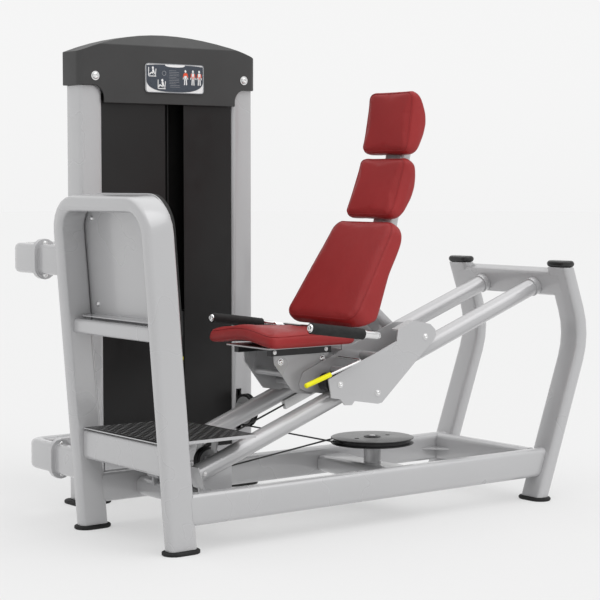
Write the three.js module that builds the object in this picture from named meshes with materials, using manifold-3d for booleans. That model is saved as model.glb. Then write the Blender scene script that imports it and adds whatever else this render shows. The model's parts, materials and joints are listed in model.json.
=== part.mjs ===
// Seated leg press with a selectorised weight tower.
// Millimetres, +Z up. +X runs from the foot plate towards the rear uprights,
// +Y from the open side of the frame towards the weight tower.
import * as THREE from "three";
import { mergeVertices } from "three/addons/utils/BufferGeometryUtils.js";
import Module from "manifold-3d";

const wasm = await Module();
wasm.setup();

// ---------------------------------------------------------------- dimensions
const GAP = 0.3;                 // clearance between neighbouring pieces
const TUBE_L = 100, TUBE_S = 50; // flat-oval frame tube
const MID_Y = 262;               // mid-plane of the frame
const LEG_Y = 261.5;             // legs and uprights, either side of the mid-plane
const NEAR = MID_Y - LEG_Y, FAR = MID_Y + LEG_Y;
const FOOT_H = 12;               // rubber foot pads
const LEAN = 0.0811;             // the foot frame leans forwards (radians)
const FOOT_FRAME_TOP = 1099;     // along the leaning legs, outside
const RAIL_Z = 133;              // side rails, centre height
const SLOPE = THREE.MathUtils.degToRad(20);  // slide rails
const SLIDE_END = [1641.5, 759.5];           // slide axis at the rear crossbar face
const SLIDE_Y = 134, SLIDE_R = 30;
const UPRIGHT_FOOT_X = 1517, UPRIGHT_BEND = [1731, 587], UPRIGHT_TOP_Z = 830;
const DISC = { x: 980, r: 146, cable: 137, z0: 222, z1: 244 };
const CABLE_R = 3, CABLE_Z = 233;
const PULLEY = { r: 62, cable: 57, w: 20 };
const TOWER = { x0: 172, x1: 908, colW: 90, y0: 874, y1: 974, colTop: 1471.5, footY: 921.5 };
const STACK = { x: 568, y: 930, w: 300, d: 78, z0: 185, pitch: 25, rest: 12, lift: 6 };
const PAD_HALF = 122;            // half width of head and back pads
const ORIGIN = [800.5, 461.5, 0];  // natural reference point: middle of the footprint

// ---------------------------------------------------------------- materials
const mat = (color, roughness, metalness) => new THREE.MeshStandardMaterial({ color, roughness, metalness });
const SILVER = mat("#b4b4b6", 0.38, 0.35), CHROME = mat("#d8d8da", 0.12, 1.0), BLACK = mat("#242323", 0.45, 0.1),
  COVER = mat("#454545", 0.5, 0.1), RUBBER = mat("#1a1a1a", 0.85, 0), RED = mat("#8e2d2e", 0.55, 0),
  STEEL = mat("#8e9092", 0.35, 0.9), YELLOW = mat("#e8e000", 0.5, 0), PLATE = mat("#5a6470", 0.4, 0.1),
  TREAD = mat("#3b3b3d", 0.4, 0.8), IRON = mat("#2c2c2e", 0.6, 0.3), WIRE = mat("#161616", 0.5, 0.2);

// ---------------------------------------------------------------- helpers
const V = (x, y, z) => new THREE.Vector3(x, y, z);
const P2 = (x, y) => new THREE.Vector2(x, y);
const root = new THREE.Group();
const frame = new THREE.Group();
frame.position.set(-ORIGIN[0], -ORIGIN[1], -ORIGIN[2]);
root.add(frame);

function add(name, body, material) {
  const geometry = body.isBufferGeometry ? body : geometryOf(body);
  geometry.computeVertexNormals();
  const mesh = new THREE.Mesh(geometry, material);
  mesh.name = name;
  frame.add(mesh);
  return mesh;
}
function solid(geometry) {
  const g = geometry.index ? geometry.toNonIndexed() : geometry.clone();
  for (const key of Object.keys(g.attributes)) if (key !== "position") g.deleteAttribute(key);
  const m = mergeVertices(g, 1e-3);
  return new wasm.Manifold(new wasm.Mesh({
    numProp: 3,
    vertProperties: new Float32Array(m.attributes.position.array),
    triVerts: new Uint32Array(m.index.array),
  }));
}
function geometryOf(body) {
  const m = body.getMesh();
  const g = new THREE.BufferGeometry();
  g.setAttribute("position", new THREE.BufferAttribute(new Float32Array(m.vertProperties), 3));
  g.setIndex(new THREE.BufferAttribute(new Uint32Array(m.triVerts), 1));
  return g;
}
const join = (...parts) => parts.map((p) => (p.isBufferGeometry ? solid(p) : p)).reduce((a, b) => a.add(b));
// the largest body left by a trim
const largest = (body) => body.decompose().reduce((a, b) => (a.volume() > b.volume() ? a : b));
const cut = (body, ...tools) => largest(tools.map((t) => (t.isBufferGeometry ? solid(t) : t))
  .reduce((a, b) => a.subtract(b), body.isBufferGeometry ? solid(body) : body));

function box(x0, x1, y0, y1, z0, z1) {
  return new THREE.BoxGeometry(x1 - x0, y1 - y0, z1 - z0).translate((x0 + x1) / 2, (y0 + y1) / 2, (z0 + z1) / 2);
}
// rounded rectangle w by h about the origin; a flat-oval is r = h / 2
function rounded(w, h, r, seg = 7) {
  const pts = [], cx = w / 2 - r, cy = h / 2 - r;
  for (const [sx, sy, a] of [[1, 1, 0], [-1, 1, 90], [-1, -1, 180], [1, -1, 270]]) {
    for (let i = 0; i <= seg; i++) {
      const t = THREE.MathUtils.degToRad(a + (90 * i) / seg);
      const p = P2(sx * cx + r * Math.cos(t), sy * cy + r * Math.sin(t));
      if (!pts.length || pts[pts.length - 1].distanceTo(p) > 0.01) pts.push(p);
    }
  }
  if (pts[0].distanceTo(pts[pts.length - 1]) < 0.01) pts.pop();
  return new THREE.Shape(pts);
}
const oval = (w, h, seg = 4) => rounded(w, h, Math.min(w, h) / 2 - 0.5, seg);
// frame tube: flat faces, corners rounded by about a third of the short side
const tube = (w, h) => rounded(w, h, Math.min(w, h) * 0.35, 4);
const round = (r, n = 12) => new THREE.Shape(Array.from({ length: n }, (_, i) =>
  P2(r * Math.cos((2 * Math.PI * i) / n), r * Math.sin((2 * Math.PI * i) / n))));
const slab = (shape, depth, bevel = 0) => new THREE.ExtrudeGeometry(shape, {
  depth: depth - 2 * bevel, bevelEnabled: bevel > 0, bevelThickness: bevel, bevelSize: bevel, bevelOffset: -bevel,
  bevelSegments: 1, curveSegments: 6,
}).translate(0, 0, bevel);
// shape drawn in X (first) and Z (second), extruded from y0 to y1
const alongY = (shape, y0, y1) => slab(shape, y1 - y0).rotateX(Math.PI / 2).translate(0, y1, 0);
// shape drawn in Y and Z, extruded from x0 to x1
const alongX = (shape, x0, x1) => slab(shape, x1 - x0).rotateX(Math.PI / 2).rotateZ(Math.PI / 2).translate(x0, 0, 0);
// shape drawn in X and Y, extruded from z0 to z1
const alongZ = (shape, z0, z1, bevel = 0) => slab(shape, z1 - z0, bevel).translate(0, 0, z0);
const poly = (pts) => new THREE.Shape(pts.map(([a, b]) => P2(a, b)));
const cylY = (r, x, z, y0, y1, n = 20) => new THREE.CylinderGeometry(r, r, y1 - y0, n).translate(x, (y0 + y1) / 2, z);
const cylZ = (r, x, y, z0, z1, n = 24) => new THREE.CylinderGeometry(r, r, z1 - z0, n).rotateX(Math.PI / 2).translate(x, y, (z0 + z1) / 2);

// a route through given stations, sampled exactly at them
class Route extends THREE.Curve {
  constructor(pts) { super(); this.pts = pts; }
  index(t) { return Math.round(t * (this.pts.length - 1)); }
  getPoint(t) { return this.pts[this.index(t)].clone(); }
  getPointAt(t) { return this.getPoint(t); }
  getTangent(t) {
    const i = this.index(t), n = this.pts.length - 1, dir = V(0, 0, 0);
    if (i > 0) dir.add(this.pts[i].clone().sub(this.pts[i - 1]).normalize());
    if (i < n) dir.add(this.pts[i + 1].clone().sub(this.pts[i]).normalize());
    return dir.normalize();
  }
  getTangentAt(t) { return this.getTangent(t); }
}
// corners joined by arcs of the given radii
function filleted(corners, radii, seg = 6) {
  const out = [corners[0].clone()];
  for (let i = 1; i < corners.length - 1; i++) {
    const p = corners[i], a = corners[i - 1].clone().sub(p).normalize(), b = corners[i + 1].clone().sub(p).normalize();
    const r = Array.isArray(radii) ? radii[i - 1] : radii;
    const half = a.angleTo(b) / 2, d = r / Math.tan(half);
    const centre = p.clone().add(a.clone().add(b).normalize().multiplyScalar(r / Math.sin(half)));
    const p0 = p.clone().addScaledVector(a, d), p1 = p.clone().addScaledVector(b, d);
    const e0 = p0.clone().sub(centre), e1 = p1.clone().sub(centre), sweep = e0.angleTo(e1);
    for (let k = 0; k <= seg; k++) {
      const t = k / seg;
      out.push(centre.clone().addScaledVector(e0, Math.sin((1 - t) * sweep) / Math.sin(sweep))
        .addScaledVector(e1, Math.sin(t * sweep) / Math.sin(sweep)));
    }
  }
  out.push(corners[corners.length - 1].clone());
  return out;
}
const sweep = (shape, pts) => new THREE.ExtrudeGeometry(shape, { steps: pts.length - 1, bevelEnabled: false, extrudePath: new Route(pts) });
// surface of revolution about the Y axis at (x, z), profile as [radius, y]
function spin(profile, x, z, n = 28) {
  return new THREE.LatheGeometry(profile.map(([r, y]) => P2(r, y)), n).translate(x, 0, z);
}

// ---------------------------------------------------------------- foot frame
const leanPlane = (g) => g.rotateY(-LEAN).translate(-1, 0, 0);
const footCorners = [V(0, NEAR, -10), V(0, NEAR, FOOT_FRAME_TOP - 25), V(0, FAR, FOOT_FRAME_TOP - 25), V(0, FAR, -10)];
const footTube = (grow) => leanPlane(sweep(tube(TUBE_S + grow, TUBE_L + grow), filleted(footCorners, 92, 6)));
const floorCut = box(-400, 2400, -400, 1400, -200, FOOT_H + GAP);
const clearFoot = solid(footTube(2 * GAP));
add("foot_frame", cut(footTube(0), floorCut), SILVER);

const legX = (z) => -1 - z * Math.tan(LEAN);
const crossMid = alongY(rounded(50, 47, 11, 3), NEAR, FAR).translate(legX(672.5), 0, 672.5);
add("crossbar_mid", cut(crossMid, clearFoot), SILVER);
const crossLow = alongY(tube(TUBE_S, TUBE_L), NEAR, FAR).translate(legX(285), 0, 285);
add("crossbar_low", cut(crossLow, clearFoot), SILVER);

// foot plate and its rubber mat share the rounded outline of the foot frame
function footOutline(y0, y1, v0, v1, r, rb) {
  const s = new THREE.Shape();
  s.moveTo(y0 + rb, v0); s.lineTo(y1 - rb, v0); s.quadraticCurveTo(y1, v0, y1, v0 + rb);
  s.lineTo(y1, v1 - r); s.absarc(y1 - r, v1 - r, r, 0, Math.PI / 2, false);
  s.lineTo(y0 + r, v1); s.absarc(y0 + r, v1 - r, r, Math.PI / 2, Math.PI, false);
  s.lineTo(y0, v0 + rb); s.quadraticCurveTo(y0, v0, y0 + rb, v0);
  return s;
}
const footPlate = alongX(footOutline(2, 522, 648, 1101, 114, 14), 50.6, 54.6);
const plateLip = box(2, 50.7, 40, 484, 705, 709);
add("foot_plate", leanPlane(geometryOf(join(footPlate, plateLip))), SILVER);
add("foot_mat", leanPlane(alongX(footOutline(8, 516, 657, 1099, 108, 16), 55, 72)), RUBBER);

// ---------------------------------------------------------------- rear uprights
const upDir = (UPRIGHT_BEND[0] - UPRIGHT_FOOT_X) / UPRIGHT_BEND[1];
const upTopX = UPRIGHT_BEND[0] - upDir * (UPRIGHT_TOP_Z - UPRIGHT_BEND[1]);
const upCorners = (y) => [V(UPRIGHT_FOOT_X - upDir * 20, y, -20), V(UPRIGHT_BEND[0], y, UPRIGHT_BEND[1]),
  V(upTopX - upDir * 30, y, UPRIGHT_TOP_Z + 30)];
const upright = (y, grow) => sweep(tube(TUBE_L + grow, TUBE_S + grow), filleted(upCorners(y), 260, 4));
const topCut = box(1400, 2000, -200, 800, UPRIGHT_TOP_Z - GAP, 1100);
const clearUp = [NEAR, FAR].map((y) => solid(upright(y, 2 * GAP)));
[["near", NEAR], ["far", FAR]].forEach(([side, y]) => {
  add(`upright_${side}`, cut(upright(y, 0), floorCut, topCut), SILVER);
  add(`cap_${side}`, alongZ(rounded(60, 106, 24, 5), UPRIGHT_TOP_Z, UPRIGHT_TOP_Z + 24, 7).translate(upTopX, y, 0), RUBBER);
});
const crossTopC = [1662, 775];
const crossTop = alongY(tube(TUBE_S, TUBE_L), NEAR, FAR).rotateY(-SLOPE).translate(crossTopC[0], 0, crossTopC[1]);
add("crossbar_top", cut(crossTop, ...clearUp), SILVER);

// ---------------------------------------------------------------- base frame
for (const [side, y] of [["near", NEAR], ["far", FAR]]) {
  const rail = alongX(tube(TUBE_S, TUBE_L), -2, 1600).translate(0, y, RAIL_Z);
  add(`rail_${side}`, cut(rail, clearFoot, clearUp[side === "near" ? 0 : 1], box(1560, 1700, -100, 700, 0, 70)), SILVER);
}
const INNER0 = NEAR + 25 + GAP, INNER1 = FAR - 25 - GAP;
// rear base crossbar with a triangular gusset in each corner
const rearX = 1520;
const gusset = (y, s) => alongZ(poly([[rearX - 20, y], [rearX - 95, y], [rearX - 20, y + s * 75]]
  .map(([a, b]) => [a, b]).sort(() => 0)), 128, 134);
const crossRear = join(alongY(tube(TUBE_S, TUBE_L), INNER0 + 0.05, INNER1 - 0.05).translate(rearX, 0, RAIL_Z),
  gusset(INNER0 + 0.05, 1), gusset(INNER1 - 0.05, -1));
add("crossbar_rear", cut(crossRear, ...clearUp), SILVER);

// slide axis helpers: s along the slide, t above it, from the station at X 600
const U = [Math.cos(SLOPE), Math.sin(SLOPE)];
const A0 = [600, SLIDE_END[1] + Math.tan(SLOPE) * (600 - SLIDE_END[0])];
const at = (s, t) => [A0[0] + U[0] * s - U[1] * t, A0[1] + U[1] * s + U[0] * t];
const slideZ = (x) => A0[1] + Math.tan(SLOPE) * (x - 600);
const sEnd = (SLIDE_END[0] - 600) / U[0] - 1.2;
const sStart = (142 - 600) / U[0];

// front link: cross tube, slide brackets, step strut and the front pulley yoke
const FRONT_PULLEY = { x: 0, z: 230, r: 45, cable: 40 };
const DRIVE_T = 9.5;             // drive bar and its cable, above the slide axes
const sTangent = (FRONT_PULLEY.z + FRONT_PULLEY.cable * U[0] - A0[1] - U[0] * DRIVE_T) / U[1];
FRONT_PULLEY.x = at(sTangent, DRIVE_T)[0] + FRONT_PULLEY.cable * U[1];
const linkParts = [alongY(tube(120, 60), INNER0, INNER1).translate(215, 0, 125)];
for (const y of [MID_Y - SLIDE_Y, MID_Y + SLIDE_Y]) {
  const a = at(sStart - 1, 30), b = at(sStart - 1, -46), c = at(sStart - 5, -46), d = at(sStart - 5, 30);
  linkParts.push(alongY(poly([a, b, c, d].reverse()), y - 32, y + 32));
  const w0 = at(sStart - 3, -SLIDE_R - 0.5), w1 = at(sStart + 132, -SLIDE_R - 0.5);
  linkParts.push(alongY(poly([w0, [w0[0] + 8, 120], [w1[0], 120], w1].reverse()), y - 5, y + 5));
}
linkParts.push(cut(alongY(poly([[246, 130], [252, 130], [292, 335.1], [286, 335.1]]), 208, 316), box(240, 300, 236, 288, 120, 290)));
for (const y of [MID_Y - 24, MID_Y + 18]) {
  linkParts.push(box(FRONT_PULLEY.x - 22, FRONT_PULLEY.x + 20, y, y + 6, 118, FRONT_PULLEY.z + 18));
}
linkParts.push(cylY(8, FRONT_PULLEY.x, FRONT_PULLEY.z, MID_Y - 22, MID_Y + 22, 14));
add("link_crossbar", join(...linkParts), SILVER);

add("step_plate", join(box(-50, 305, 29, 495, 335.4, 339.4), box(30, 305, 29, 33, 329, 337), box(30, 305, 491, 495, 329, 337),
  box(301, 305, 29, 495, 329, 337)), TREAD);

// cam disc stand
add("cam_stand", join(alongY(tube(120, 60), INNER0, INNER1).translate(DISC.x, 0, 125), cylZ(30, DISC.x, MID_Y, 150, DISC.z0 - GAP),
  cylZ(12, DISC.x, MID_Y, 200, DISC.z1 + 6)), SILVER);
const discGroove = (DISC.z0 + DISC.z1) / 2;
const discProfile = [[12.4, DISC.z0], [DISC.r - 2, DISC.z0], [DISC.r, DISC.z0 + 1.5], [DISC.r, discGroove - 8], [133.5, discGroove - 4.5],
  [133.5, discGroove + 4.5], [DISC.r, discGroove + 8], [DISC.r, DISC.z1 - 1.5], [DISC.r - 2, DISC.z1], [12.4, DISC.z1], [12.4, DISC.z0]];
const discBody = new THREE.LatheGeometry(discProfile.map(([r, z]) => P2(r, z)), 32).rotateX(Math.PI / 2).translate(DISC.x, MID_Y, 0);
add("cam_disc", cut(discBody, cylZ(9, DISC.x + 70, MID_Y, 200, 260, 8), cylZ(9, DISC.x - 70, MID_Y, 200, 260, 8)), STEEL);

// ---------------------------------------------------------------- slides
for (const [side, y] of [["near", MID_Y - SLIDE_Y], ["far", MID_Y + SLIDE_Y]]) {
  const [x0, z0] = at(sStart, 0), [x1, z1] = at(sEnd, 0), [x2, z2] = at(sEnd - 22, 0);
  const body = join(sweep(round(SLIDE_R, 20), [V(x0, y, z0), V(x1, y, z1)]), sweep(round(34, 20), [V(x2, y, z2), V(x1, y, z1)]));
  add(`slide_${side}`, body, SILVER);
}

// ---------------------------------------------------------------- weight tower
const { x0: TX0, x1: TX1, colW: CW, y0: TY0, y1: TY1, colTop: CTOP, footY } = TOWER;
const colMid = (TY0 + TY1) / 2;
const transfer = { x: DISC.x - DISC.cable, y: 826, z: CABLE_Z + PULLEY.cable };
add("column_left", alongZ(rounded(CW, TY1 - TY0, 14, 4), FOOT_H + GAP, CTOP).translate(TX0 + CW / 2, colMid, 0), SILVER);
// the right column is open inside, the cable climbs in it
const colHole = rounded(CW - 8, TY1 - TY0 - 8, 10, 3);
const colR = cut(alongZ(rounded(CW, TY1 - TY0, 14, 4), FOOT_H + GAP, CTOP), alongZ(colHole, 60, CTOP + 10));
const yoke = [transfer.x - 17, transfer.x + 13].map((x) =>
  box(x, x + 4, transfer.y - 22, TY0 + 2, transfer.z - 24, transfer.z + 24));
const colRight = join(cut(colR.translate([TX1 - CW / 2, colMid, 0]), box(transfer.x - 12, transfer.x + 12, TY0 - 5, TY0 + 12, 214, 366)), ...yoke,
  new THREE.CylinderGeometry(7, 7, 34, 14).rotateZ(Math.PI / 2).translate(transfer.x, transfer.y, transfer.z));
add("column_right", colRight, SILVER);
add("tower_base", cut(box(TX0 + CW + GAP, TX1 - CW - GAP, TY0 + 2, TY1 - 2, 60, 160)), SILVER);

const topHoles = [cylZ(12, STACK.x, STACK.y, 1400, 1500, 14), cylZ(12, transfer.x, 928, 1400, 1500, 14)];
const topZ0 = CTOP + GAP, pulleyZ = 1555, pulleyLX = STACK.x + PULLEY.cable, pulleyRX = transfer.x - PULLEY.cable;
const rods = [-95, 95].map((dx) => cylZ(12, STACK.x + dx, STACK.y, 160.4, topZ0 + 4, 16));
const lugs = [];
for (const x of [pulleyLX, pulleyRX]) {
  for (const y of [STACK.y - 18, STACK.y + 14]) lugs.push(box(x - 18, x + 18, y, y + 4, topZ0 + 5, pulleyZ + 18));
  lugs.push(cylY(7, x, pulleyZ, STACK.y - 16, STACK.y + 16, 14));
}
add("tower_top", cut(join(box(TX0 + 4, TX1 - 4, TY0 + 4, 968, topZ0, topZ0 + 8), ...rods, ...lugs), ...topHoles), STEEL);

// head cover: arched shell with a sloping crown, open below; an apron hangs between the columns
const COVER_BOX = { x0: 160, x1: 915, y0: 860, y1: 974, side: 1472, apron: 1412, wall: 5, round: 44 };
const APRON = [TX0 + CW - 2, TX1 - CW + 2];
const crown = (x) => 1660 - 70 * ((x - 540) / 375) ** 2;
function crowned(shape, x0, x1, drop) {
  for (let i = 0; i <= 14; i++) { const x = x1 + ((x0 - x1) * i) / 14; shape.lineTo(x, crown(x) - drop); }
  return shape;
}
function coverOutline({ x0, x1, side, apron, round: r }) {
  const s = new THREE.Shape().moveTo(x0, side).lineTo(APRON[0] - r, side);
  s.absarc(APRON[0] - r, side - r, r, Math.PI / 2, 0, true).lineTo(APRON[0], apron).lineTo(APRON[1], apron);
  s.lineTo(APRON[1], side - r).absarc(APRON[1] + r, side - r, r, Math.PI, Math.PI / 2, true).lineTo(x1, side);
  return crowned(s, x0, x1, 0);
}
const { x0: KX0, x1: KX1, y0: KY0, y1: KY1, wall: KW } = COVER_BOX;
const hollow = crowned(new THREE.Shape().moveTo(KX0 + KW, 1380).lineTo(KX1 - KW, 1380), KX0 + KW, KX1 - KW, KW);
// the crown slopes forwards from a straight crease
const crownWedge = (y, z) => alongX(poly([[y - 10, z - 10], [y + 100, z + 100], [y - 10, z + 100]]), 100, 1000);
const cornerRound = (x, y, sx) => {
  const r = 26, pts = [P2(x, y)];
  for (let i = 0; i <= 5; i++) { const t = (Math.PI / 2) * (i / 5); pts.push(P2(x + sx * (r - r * Math.sin(t)), y + r - r * Math.cos(t))); }
  return alongZ(new THREE.Shape(pts), 1300, 1800);
};
const roundOuter = cut(alongY(coverOutline(COVER_BOX), KY0, KY1), crownWedge(KY0, 1616), cornerRound(KX0, KY0, 1), cornerRound(KX1, KY0, -1));
const roundInner = cut(alongY(hollow, KY0 + KW, KY1 - KW), crownWedge(KY0 + KW, 1614), cornerRound(KX0 + KW, KY0 + KW, 1),
  cornerRound(KX1 - KW, KY0 + KW, -1));
const columnRoom = [[KX0 - 10, TX0 + CW + GAP], [TX1 - CW - GAP, KX1 + 10]].map(([x0, x1]) => box(x0, x1, KY0 + KW + 1, KY1 + 10, 1300, COVER_BOX.side));
add("head_cover", cut(roundOuter, roundInner, ...columnRoom), COVER);
add("placard", alongY(rounded(248, 103, 12, 3), 855, 859.7).translate(552, 0, 1504.5), PLATE);

// front shroud: two panels and a short lower one leave the slot for the selector pin; one panel closes the back
const SH0 = TX0 + CW + GAP, SH1 = TX1 - CW - GAP;
const SLOT = { x0: 528, x1: 608, z0: 300 };
add("shroud_left", box(SH0, SLOT.x0, 884, 888, 160.4, CTOP - 1), BLACK);
add("shroud_right", box(SLOT.x1, SH1, 884, 888, 160.4, CTOP - 1), BLACK);
add("shroud_lower", box(SLOT.x0 + GAP, SLOT.x1 - GAP, 884, 888, 160.4, SLOT.z0), BLACK);
add("shroud_rear", box(SH0, SH1, 970.4, 973.4, 160.4, COVER_BOX.apron - 1), BLACK);

// weight stack: grooved blocks, the lifted one with its selector rod
function stackBlock(z0, n, extra) {
  const hw = STACK.w / 2, hd = STACK.d / 2, pts = [];
  for (let i = 0; i < n; i++) { const z = z0 + i * STACK.pitch; pts.push([hw - (i ? 1.5 : 0), z], [hw, z + 1.2], [hw, z + STACK.pitch - 1.2]); }
  pts.push([hw - 1.5, z0 + n * STACK.pitch]);
  if (extra) { const z = z0 + n * STACK.pitch; pts.push([hw - 12, z + extra]); }
  const top = pts[pts.length - 1][1];
  const mirrored = pts.slice().reverse().map(([a, b]) => [-a, b]);
  const body = alongY(poly([...pts, ...mirrored]), STACK.y - hd, STACK.y + hd).translate(STACK.x, 0, 0);
  const bores = [-95, 95].map((dx) => cylZ(13.5, STACK.x + dx, STACK.y, z0 - 5, top + 5, 10));
  return cut(body, ...bores);
}
const restTop = STACK.z0 + STACK.rest * STACK.pitch;
const liftZ0 = restTop + GAP, liftTop = liftZ0 + STACK.lift * STACK.pitch + 30;
const bumpers = [-95, 95].map((dx) => cut(cylZ(22, STACK.x + dx, STACK.y, 160.4, STACK.z0 + 1, 18), cylZ(12.6, STACK.x + dx, STACK.y, 150, 200, 18)));
add("stack_resting", join(cut(stackBlock(STACK.z0, STACK.rest, 0), cylZ(13, STACK.x, STACK.y, 170, restTop + 5, 16)), ...bumpers), IRON);
const pinZ = liftZ0 + STACK.pitch / 2;
const pinHole = cylY(5, STACK.x, pinZ, STACK.y - 80, STACK.y + 12, 12);
add("stack_lifted", cut(join(stackBlock(liftZ0, STACK.lift, 30), cylZ(10.5, STACK.x, STACK.y, 205, liftTop + 28, 14)), pinHole), IRON);
add("selector_pin", new THREE.LatheGeometry([[0, 0], [4.2, 0], [4.2, 64], [11, 65], [12, 68], [12, 88], [10, 91], [0, 91]]
  .map(([a, b]) => P2(a, b)), 16).rotateX(Math.PI).translate(STACK.x, STACK.y + 8, pinZ), YELLOW);

// arms tying the tower to the foot frame: bent tube with a bolted oval flange
for (const [name, z] of [["arm_upper", 881], ["arm_lower", 208]]) {
  const x = legX(z), path = filleted([V(TX0 - GAP, 887, z), V(x, 887, z), V(x, FAR - 5, z)], 48, 5);
  const flange = alongY(oval(80, 135), 695, 715).translate(x, 0, z);
  add(name, cut(join(sweep(tube(TUBE_L, TUBE_S), path), flange), clearFoot), SILVER);
}

// ---------------------------------------------------------------- pulleys and cable
const pulleyProfile = (r, cable, w, bore, gw0 = 4, gw1 = 7) => [[bore, -w / 2], [r - 1, -w / 2], [r, -w / 2 + 1], [r, -gw1], [cable - 3.5, -gw0],
  [cable - 3.5, gw0], [r, gw1], [r, w / 2 - 1], [r - 1, w / 2], [bore, w / 2], [bore, -w / 2]];
const wheel = pulleyProfile(PULLEY.r, PULLEY.cable, PULLEY.w, 7.4);
add("transfer_pulley", new THREE.LatheGeometry(wheel.map(([r, y]) => P2(r, y)), 20).rotateZ(Math.PI / 2)
  .translate(transfer.x, transfer.y, transfer.z), BLACK);
add("top_pulley_left", spin(wheel, pulleyLX, pulleyZ, 20).translate(0, STACK.y, 0), BLACK);
add("top_pulley_right", spin(wheel, pulleyRX, pulleyZ, 20).translate(0, STACK.y, 0), BLACK);
add("front_pulley", spin(pulleyProfile(FRONT_PULLEY.r, FRONT_PULLEY.cable, 28, 8.4, 4, 11), FRONT_PULLEY.x, FRONT_PULLEY.z, 20)
  .translate(0, MID_Y, 0), BLACK);
function arc(c, r, a0, a1, n, plane) {
  return Array.from({ length: n + 1 }, (_, i) => {
    const t = THREE.MathUtils.degToRad(a0 + ((a1 - a0) * i) / n), p = r * Math.cos(t), q = r * Math.sin(t);
    return plane === "yz" ? V(c.x, c.y + p, c.z + q) : V(c.x + p, c.y, c.z + q);
  });
}
const C = V(transfer.x, transfer.y, transfer.z), CR = V(pulleyRX, STACK.y, pulleyZ), CL = V(pulleyLX, STACK.y, pulleyZ);
const towerRoute = [V(transfer.x, MID_Y, CABLE_Z), ...arc(C, PULLEY.cable, -90, 0, 6, "yz"),
  ...arc(CR, PULLEY.cable, 0, 90, 6, "xz"), ...arc(CL, PULLEY.cable, 90, 180, 6, "xz")];
add("cable_tower", sweep(round(CABLE_R, 8), towerRoute), WIRE);
add("cable_stack", cylZ(CABLE_R, STACK.x, STACK.y, liftTop + 28 + GAP, pulleyZ - 1, 8), WIRE);
const tangent = Math.acos(DISC.cable / (DISC.x - FRONT_PULLEY.x));
// the cable drops a little on its way so that it passes under the tower cable
const discPoint = V(DISC.x - DISC.cable * Math.cos(tangent), MID_Y + DISC.cable * Math.sin(tangent), CABLE_Z);
const fp = V(FRONT_PULLEY.x, MID_Y, FRONT_PULLEY.z);
const hook = at(-8, DRIVE_T);
add("cable_drive", sweep(round(CABLE_R, 8), [discPoint, ...arc(fp, FRONT_PULLEY.cable, 270, 110, 9, "xz"), V(hook[0], MID_Y, hook[1])]), WIRE);

// ---------------------------------------------------------------- carriage
// drive bar with index holes, pulled by the cable
const barHoles = Array.from({ length: 9 }, (_, i) => cylY(6, ...at(120 + i * 25, DRIVE_T), MID_Y - 30, MID_Y + 30, 8));
const bar = alongY(poly([at(-7, -6), at(400, -6), at(400, 25), at(-7, 25)]), MID_Y - 8, MID_Y + 8);
add("drive_bar", cut(bar, ...barHoles), STEEL);

// carriage frame: inner plates, outer side plates, cross tubes and the seat-back mount
const innerOutline = [[602, 504], [586, 466], [590, 450], [615, 439], [843, 400], [864, 404], [1030, 546], [1090, 602], [1094, 630], [1074, 650],
  [1000, 653], [812, 584.5], [812, 612], [768, 612], [768, 568.5]];
const outerOutline = [[631, 487], [643, 424], [683, 417], [700, 396], [730, 394], [742, 407], [843, 390], [862, 393], [1035, 542], [1094, 590],
  [1104, 606], [1102, 628], [1079, 648], [1005, 664], [932, 636], [927, 597]];
const flip = (pts) => poly(pts.slice().reverse());
const yIn0 = MID_Y - 92, yOut0 = MID_Y - 192;
const plates = [alongY(flip(innerOutline), yIn0, yIn0 + 5), alongY(flip(innerOutline), 2 * MID_Y - yIn0 - 5, 2 * MID_Y - yIn0),
  alongY(flip(outerOutline), yOut0, yOut0 + 5), alongY(flip(outerOutline), 2 * MID_Y - yOut0 - 5, 2 * MID_Y - yOut0)];
const flangeTop = [[932, 636], [1005, 664], [1079, 648], [1078, 643.5], [1004.6, 659.5], [933.5, 631.5]];
for (const y of [yOut0 + 1, 2 * MID_Y - yOut0 - 35]) plates.push(alongY(flip(flangeTop), y, y + 34));
const tubes = [[165, 72], [300, 70]].map(([s, t]) => cylY(14, ...at(s, t), yOut0 + 2, 2 * MID_Y - yOut0 - 2, 12));
const mountC = [1050.5, 610.2], postDown = [0.7702, -0.6378];
const mount = box(0, 8, yIn0 + 2, 2 * MID_Y - yIn0 - 2, -36, 36).rotateY(Math.atan2(-postDown[1], postDown[0])).translate(mountC[0], 0, mountC[1]);
const ROLL = { front: [105.4, 55.5], rear: [505.7, 55.5], low: [244.3, -46.5] };
const axleHoles = Object.values(ROLL).map(([s, t]) => cylY(8, ...at(s, t), yOut0 + 4, 2 * MID_Y - yOut0 - 4, 10));
add("carriage_frame", cut(join(...plates, ...tubes, mount), ...axleHoles.map((h) => h)), SILVER);

// grooved rollers, one axle through both sides
for (const [name, [s, t]] of Object.entries(ROLL)) {
  const [x, z] = at(s, t), d = Math.abs(t), [r, yA, yB] = [[], yOut0 + 5.5, MID_Y - SLIDE_Y];
  const half = [];
  for (let i = -2; i <= 2; i++) { const y = (18 * i) / 2; half.push([d - Math.sqrt(30.5 ** 2 - y ** 2), y]); }
  const profile = [[0, yA], [7, yA], [7, yB - 22], [half[0][0] + 1, yB - 22], ...half.map(([q, y]) => [q, yB + y]), [half[4][0] + 1, yB + 22], [7, yB + 22]];
  const far = profile.slice().reverse().map(([q, y]) => [q, 2 * MID_Y - y]);
  add(`roller_${name}`, spin([...profile, ...far], x, z, 16), BLACK);
}

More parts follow.
